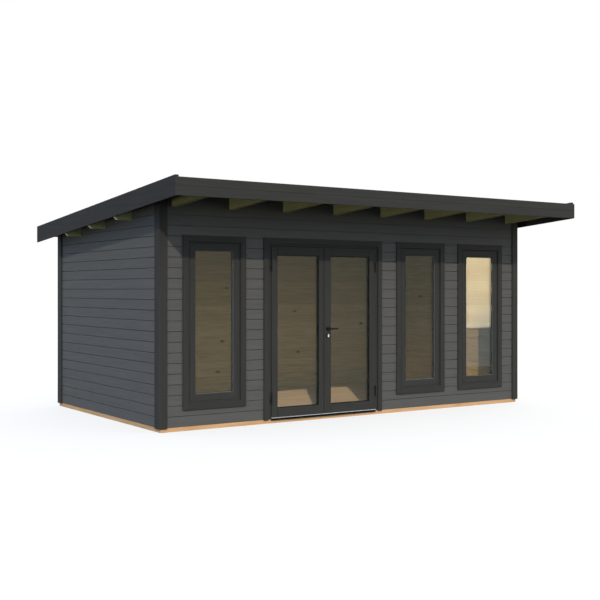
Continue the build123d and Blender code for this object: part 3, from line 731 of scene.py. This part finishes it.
def sun(name, energy, colour, spread, direction):
    """A sun lamp that shines in this direction; spread is its width in the sky in degrees."""
    lamp = bpy.data.lights.new(name, "SUN")
    lamp.energy = energy
    lamp.color = colour
    lamp.angle = math.radians(spread)
    holder = bpy.data.objects.new(name, lamp)
    holder.rotation_euler = Vector(direction).to_track_quat("-Z", "Y").to_euler()
    bpy.context.scene.collection.objects.link(holder)


# Pale floor: matte enough to keep the object's shadow, and a glow that brings the lit part up to white
FLOOR_REACH = 60
FLOOR_MATTE = (0.30, 0.30, 0.30, 1)
FLOOR_GLOW = 0.69
pale = bpy.data.materials.new("pale_studio_floor")
tree = empty_tree(pale)
share = add(tree, "ShaderNodeMath", {"operation": "MULTIPLY", 1: FLOOR_GLOW}, _0=seen_directly(tree))
glow = add(tree, "ShaderNodeEmission", {"Color": (1, 1, 1, 1)}, Strength=share.outputs[0])
matte = add(tree, "ShaderNodeBsdfDiffuse", {"Color": FLOOR_MATTE})
both = add(tree, "ShaderNodeAddShader", None, _0=matte.outputs[0], _1=glow.outputs[0])
add(tree, "ShaderNodeOutputMaterial", None, Surface=both.outputs[0])
ground = sheet("studio_floor", [(-FLOOR_REACH, -FLOOR_REACH, 0), (FLOOR_REACH, -FLOOR_REACH, 0),
                                (FLOOR_REACH, FLOOR_REACH, 0), (-FLOOR_REACH, FLOOR_REACH, 0)], pale)
ground.visible_diffuse = False
ground.visible_shadow = False

# Evening sky over a dim horizon that stands in the right window's glass: a card to the right of the camera,
# there for mirrored rays alone
CARD_LEFT, CARD_RIGHT, CARD_LOW, CARD_HIGH, CARD_DEPTH = 5.75, 8.2, -3.0, 3.4, -6
HORIZON = 0.77
LOW_SKY, HIGH_SKY = (0.62, 0.50, 0.46, 1), (1.0, 0.69, 0.49, 1)
DIM_LAND = (0.095, 0.105, 0.135, 1)
CARD_STRENGTH = 18.2
afterglow = bpy.data.materials.new("evening_sky_glow")
tree = empty_tree(afterglow)
place = add(tree, "ShaderNodeTexCoord").outputs["Object"]
height = add(tree, "ShaderNodeSeparateXYZ", None, _0=place).outputs["Z"]
bank = add(tree, "ShaderNodeMapRange", {"From Min": 0.75, "From Max": 1.50}, Value=height)
dusk = add(tree, "ShaderNodeMix", {"data_type": "RGBA", 6: LOW_SKY, 7: HIGH_SKY}, Factor=bank.outputs[0])
drawn_out = add(tree, "ShaderNodeMapping", {"Scale": (0.9, 1.0, 4.0)}, Vector=place)
wisps = add(tree, "ShaderNodeTexNoise", {"Scale": 1.0, "Detail": 3.0}, Vector=drawn_out.outputs[0])
veil = add(tree, "ShaderNodeMapRange", {"From Min": 0.35, "From Max": 0.65, "To Min": 0.86, "To Max": 1.08},
           Value=wisps.outputs["Fac"])
clouded = add(tree, "ShaderNodeVectorMath", {"operation": "SCALE"}, _0=dusk.outputs[2], Scale=veil.outputs[0])
above = add(tree, "ShaderNodeMath", {"operation": "GREATER_THAN", 1: HORIZON}, _0=height)
horizon = add(tree, "ShaderNodeMix", {"data_type": "RGBA", 6: DIM_LAND}, Factor=above.outputs[0],
              _7=clouded.outputs[0])
lit = add(tree, "ShaderNodeEmission", {"Strength": CARD_STRENGTH}, Color=horizon.outputs[2])
add(tree, "ShaderNodeOutputMaterial", None, Surface=lit.outputs[0])
card = sheet("mirrored_sky", [(CARD_LEFT, CARD_DEPTH, CARD_LOW), (CARD_RIGHT, CARD_DEPTH, CARD_LOW),
                              (CARD_RIGHT, CARD_DEPTH, CARD_HIGH), (CARD_LEFT, CARD_DEPTH, CARD_HIGH)],
             afterglow)
for kind in ("camera", "diffuse", "transmission", "shadow", "volume_scatter"):
    setattr(card, "visible_" + kind, False)

# World: white where it is seen. The light that falls on the object is cool from the left, warmer from the
# right, warmer still from low down, a little stronger near the horizon, and fades below it
COOL_LEFT, PALE_RIGHT = (0.46, 0.64, 0.89, 1), (1.10, 1.10, 1.03, 1)
LOW_TINT = (0.98, 0.96, 0.70, 1)
world = bpy.data.worlds.new("studio_sky")
bpy.context.scene.world = world
tree = empty_tree(world)
white = add(tree, "ShaderNodeBackground", {"Color": (1, 1, 1, 1), "Strength": 1.0})
direction = add(tree, "ShaderNodeTexCoord").outputs["Generated"]
toward = add(tree, "ShaderNodeSeparateXYZ", None, _0=direction).outputs
rightward = add(tree, "ShaderNodeMapRange", {"From Min": -0.6, "From Max": 0.6}, Value=toward["X"])
sky = add(tree, "ShaderNodeMix", {"data_type": "RGBA", 6: COOL_LEFT, 7: PALE_RIGHT},
          Factor=rightward.outputs[0])
low = add(tree, "ShaderNodeMapRange", {"From Min": -0.10, "From Max": 0.05, "To Min": 1.0, "To Max": 0.0},
          Value=toward["Z"])
warmed = add(tree, "ShaderNodeMix", {"data_type": "RGBA", "blend_type": "MULTIPLY", 7: LOW_TINT},
             Factor=low.outputs[0], _6=sky.outputs[2])
below = add(tree, "ShaderNodeMapRange", {"From Min": -0.24, "From Max": 0.0, "To Min": 0.01, "To Max": 1.12},
            Value=toward["Z"])
haze = add(tree, "ShaderNodeMapRange", {"From Min": 0.25, "From Max": 0.6, "To Min": 1.16, "To Max": 1.0},
           Value=toward["Z"])
level = add(tree, "ShaderNodeMath", {"operation": "MULTIPLY"}, _0=below.outputs[0], _1=haze.outputs[0])
soft = add(tree, "ShaderNodeBackground", None, Color=warmed.outputs[2], Strength=level.outputs[0])
mixed = add(tree, "ShaderNodeMixShader", None, _0=seen_directly(tree), _1=soft.outputs[0], _2=white.outputs[0])
add(tree, "ShaderNodeOutputWorld", None, Surface=mixed.outputs[0])

# Low evening sun from the front left
sun("key_light", 1.65, (1.0, 0.88, 0.72), 0.8, (0.505, 0.815, -0.59))
# A weak low light from the left, as off bright ground, that picks out the rafters' sides and the cut ends
sun("low_side_light", 0.30, (1.0, 0.88, 0.78), 8, (1.0, 0.10, 0.25))

# Camera at the photograph's place
SENSOR_MM = 36.0
FOCAL_PIXELS = 997
PICTURE_PIXELS = 600
view = bpy.data.cameras.new("camera")
view.sensor_width = SENSOR_MM
view.lens = SENSOR_MM * FOCAL_PIXELS / PICTURE_PIXELS
view.shift_y = -0.0179
view.clip_end = 200
camera = bpy.data.objects.new("camera", view)
camera.location = (-7.300, -10.805, 1.526)
camera.rotation_euler = (math.radians(90), 0, math.radians(-33.8))
bpy.context.scene.collection.objects.link(camera)
bpy.context.scene.camera = camera
bpy.context.scene.view_settings.view_transform = "Standard"
